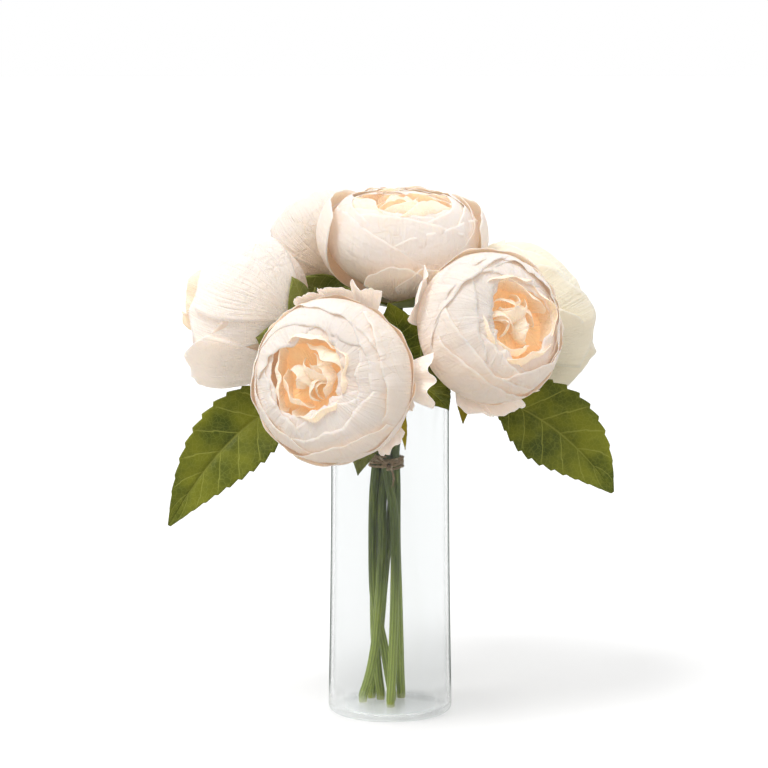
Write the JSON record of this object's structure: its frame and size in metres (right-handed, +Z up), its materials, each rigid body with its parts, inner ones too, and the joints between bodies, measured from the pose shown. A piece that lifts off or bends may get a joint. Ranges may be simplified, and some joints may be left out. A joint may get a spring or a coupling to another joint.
{
  "type": "peony bouquet in a cylinder vase",
  "caption": "Full, cupped silk peonies with serrated leaves, their stems tied with twine and standing in a clear straight glass cylinder vase.",
  "frame": {"origin": "centre of the vase's flat underside", "axes": "+Z up along the vase, +X to the right of the arrangement, -Y towards the front, where the lowest full bloom faces"},
  "size_m": [0.289, 0.2586, 0.3405],
  "materials": {
    "glass": "clear, smooth blown glass",
    "twine": "dry twisted natural fibre",
    "stem": "ridged, satin green",
    "calyx": "satin yellowish green",
    "leaf": "veined printed cloth, slightly waxy",
    "leaf_gold": "thin golden green cloth",
    "petal_cream": "fine crinkled silk, soft blush cream",
    "petal_ivory": "fine crinkled silk, ivory",
    "petal_peach": "fine crinkled silk, peach towards the centre"
  },
  "bodies": {
    "root": {"vase": "glass", "twine_tie": "twine", "stem_front": "stem", "calyx_front": "calyx", "inner_petals_front": "petal_peach", "petal_front_1": "petal_cream", "petal_front_2": "petal_cream", "petal_front_3": "petal_cream", "petal_front_4": "petal_cream", "petal_front_5": "petal_cream", "stem_top": "stem", "calyx_top": "calyx", "inner_petals_top": "petal_peach", "petal_top_1": "petal_cream", "petal_top_2": "petal_cream", "petal_top_3": "petal_cream", "petal_top_4": "petal_cream", "petal_top_5": "petal_cream", "stem_right": "stem", "calyx_right": "calyx", "inner_petals_right": "petal_peach", "petal_right_1": "petal_cream", "petal_right_2": "petal_cream", "petal_right_3": "petal_cream", "petal_right_4": "petal_cream", "petal_right_5": "petal_cream", "stem_left": "stem", "calyx_left": "calyx", "inner_petals_left": "petal_peach", "petal_left_1": "petal_cream", "petal_left_2": "petal_cream", "petal_left_3": "petal_cream", "petal_left_4": "petal_cream", "petal_left_5": "petal_cream", "stem_rear_left": "stem", "calyx_rear_left": "calyx", "inner_petals_rear_left": "petal_peach", "petal_rear_left_1": "petal_cream", "petal_rear_left_2": "petal_cream", "petal_rear_left_3": "petal_cream", "petal_rear_left_4": "petal_cream", "petal_rear_left_5": "petal_cream", "stem_rear_right": "stem", "calyx_rear_right": "calyx", "inner_petals_rear_right": "petal_peach", "petal_rear_right_1": "petal_ivory", "petal_rear_right_2": "petal_ivory", "petal_rear_right_3": "petal_ivory", "petal_rear_right_4": "petal_ivory", "petal_rear_right_5": "petal_ivory", "leaf_left": "leaf", "leaf_right": "leaf", "leaf_mouth_right": "leaf", "leaf_mouth_low": "leaf", "leaf_under_right": "leaf_gold", "leaf_under_front": "leaf_gold", "leaf_gap_left": "leaf", "leaf_gap_middle": "leaf", "leaf_rear_left": "leaf", "leaf_rear_right": "leaf"}
  },
  "joints": []
}
